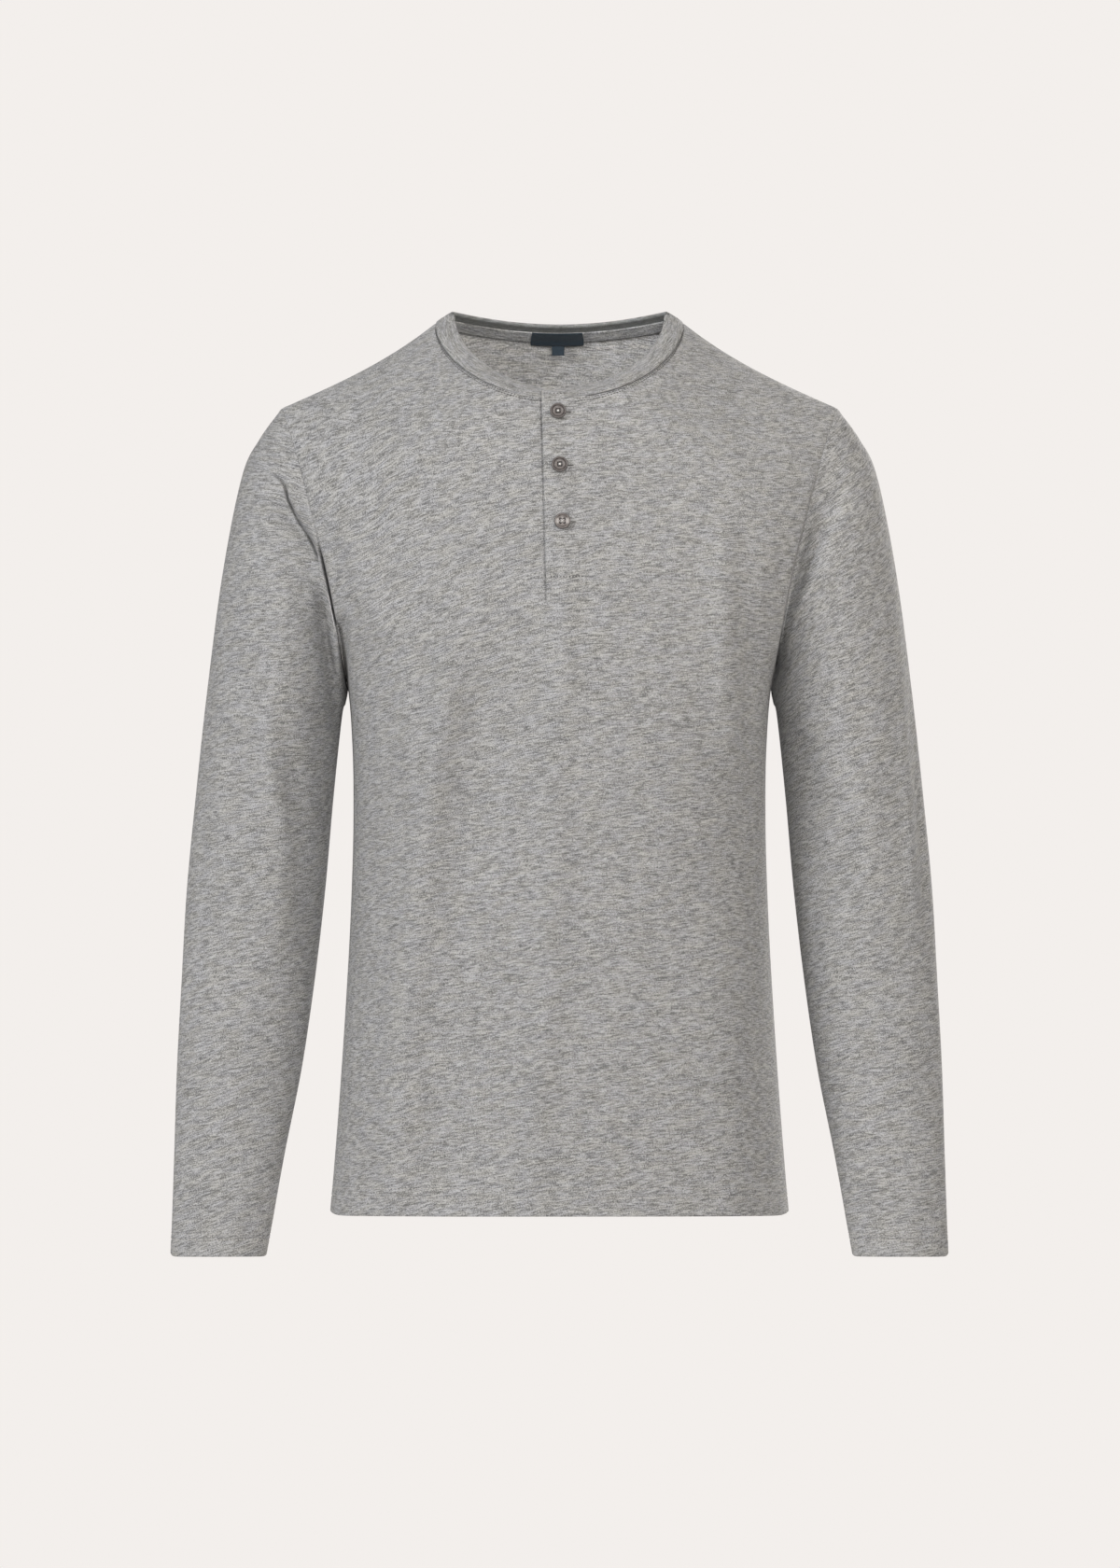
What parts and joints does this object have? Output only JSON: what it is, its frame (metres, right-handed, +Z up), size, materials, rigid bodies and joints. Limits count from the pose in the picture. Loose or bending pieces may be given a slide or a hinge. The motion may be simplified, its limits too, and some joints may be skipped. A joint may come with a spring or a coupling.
{
  "type": "long-sleeved henley shirt, filled out with no wearer",
  "caption": "Long-sleeved henley shirt in heather jersey, filled out as worn with no wearer, with an open neckband, a short button placket and open hem and cuffs.",
  "frame": {"origin": "midway between the two points where the shoulder seams meet the neckband, where the wearer's shoulders hold the shirt", "axes": "+Z up; the front faces -Y; the wearer's left is +X; the plane y = 0 runs through the shoulder and side seams"},
  "size_m": [0.6124, 0.254, 0.7432],
  "materials": {
    "jersey": "heather grey cotton jersey, fine streaky melange",
    "band": "heather grey jersey, folded double",
    "tape": "grey cotton neck tape",
    "label": "plain navy woven satin",
    "button": "brownish grey horn-effect resin, satin with a polished dish"
  },
  "bodies": {
    "root": {"front": "jersey", "back": "jersey", "sleeve_left": "jersey", "sleeve_right": "jersey", "neckband": "band", "placket_over": "jersey", "placket_under": "jersey", "neck_tape": "tape", "label": "label", "size_tab": "label", "button_1": "button", "button_2": "button", "button_3": "button"}
  },
  "joints": []
}
